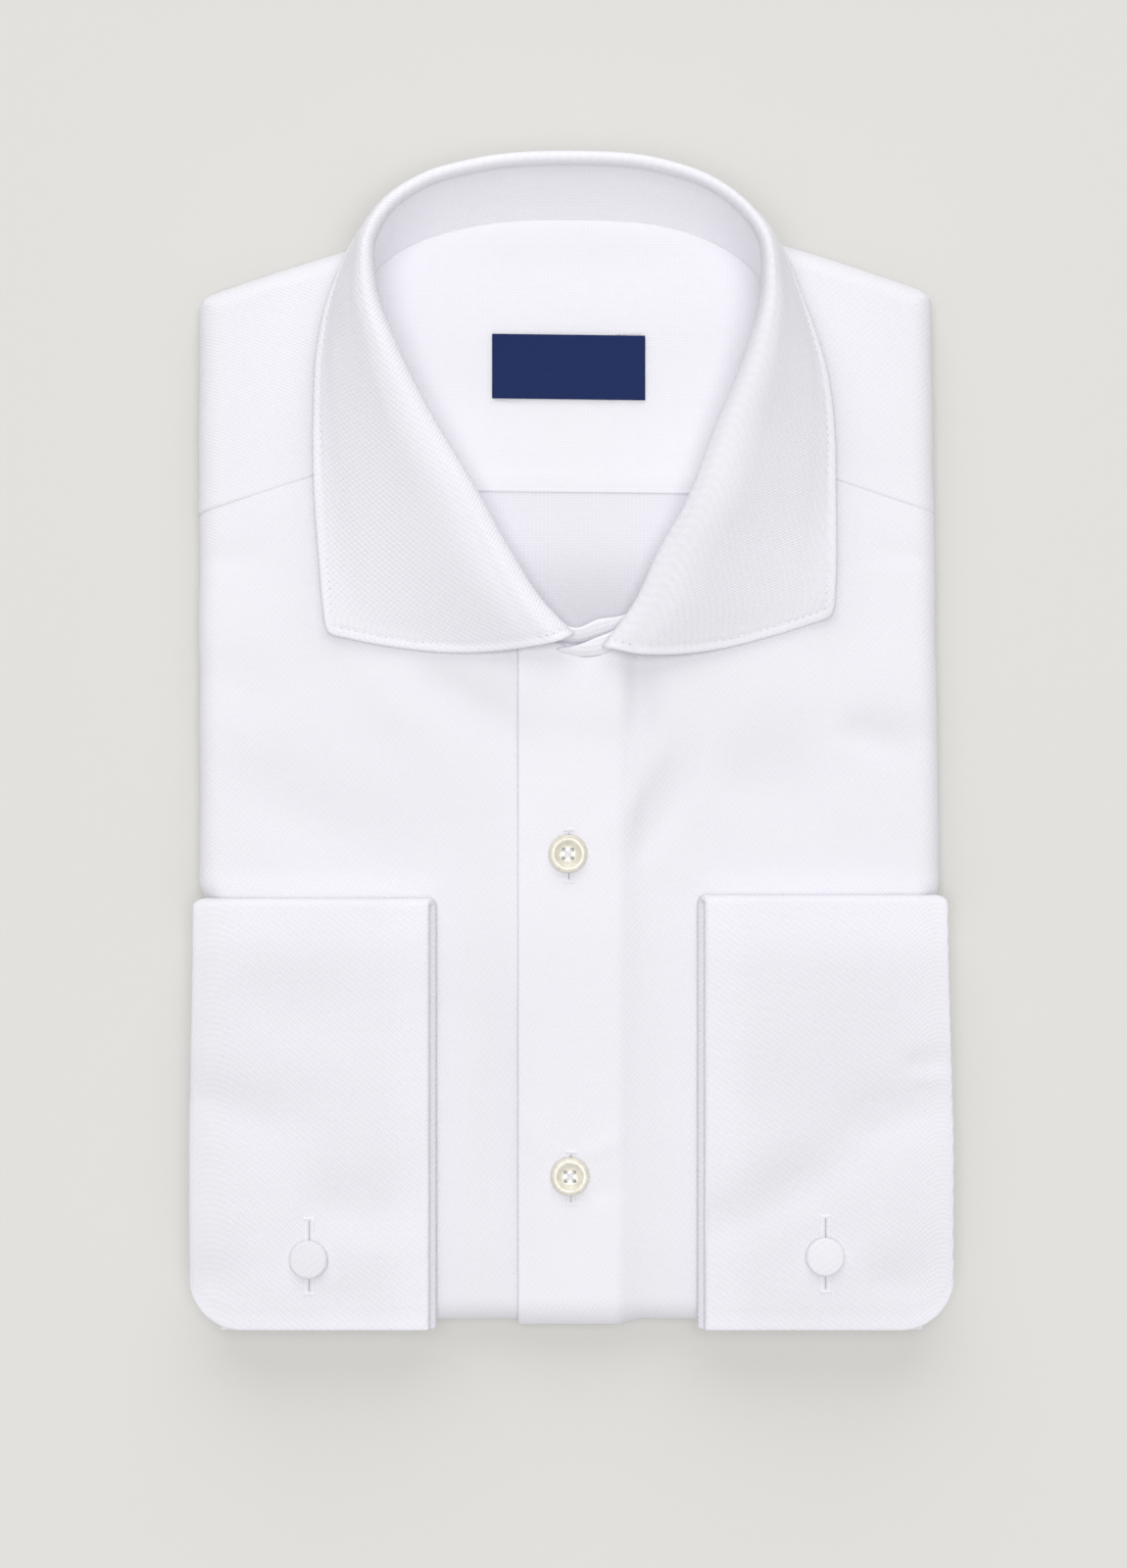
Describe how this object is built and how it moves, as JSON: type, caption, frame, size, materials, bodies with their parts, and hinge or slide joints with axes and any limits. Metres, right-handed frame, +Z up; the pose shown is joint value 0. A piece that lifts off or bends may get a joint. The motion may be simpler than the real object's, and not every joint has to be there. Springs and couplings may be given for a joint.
{
  "type": "long sleeve dress shirt, folded",
  "caption": "White long sleeve dress shirt folded flat, closed spread collar standing at the back, plain placket front and linked double cuffs laid on the fronts.",
  "frame": {"origin": "middle of the outline, on the surface that the folded shirt lies on", "axes": "+Z up out of the fronts, +Y towards the collar, +X towards the wearer's left"},
  "size_m": [0.2288, 0.3518, 0.0522],
  "materials": {
    "shirting": "fine diagonal weave, matt",
    "label_cloth": "woven navy tape, bare",
    "pearl": "cream pearl"
  },
  "bodies": {
    "root": {"folded_layers": "shirting", "front_right": "shirting", "front_left": "shirting", "yoke": "shirting", "inner_yoke": "shirting", "inner_back": "shirting", "neck_label": "label_cloth", "collar_stand": "shirting", "collar_leaf": "shirting", "cuff_left": "shirting", "cuff_right": "shirting", "sleeve_left": "shirting", "sleeve_right": "shirting", "button_chest": "pearl", "button_waist": "pearl", "link_left": "shirting", "link_right": "shirting"}
  },
  "joints": []
}
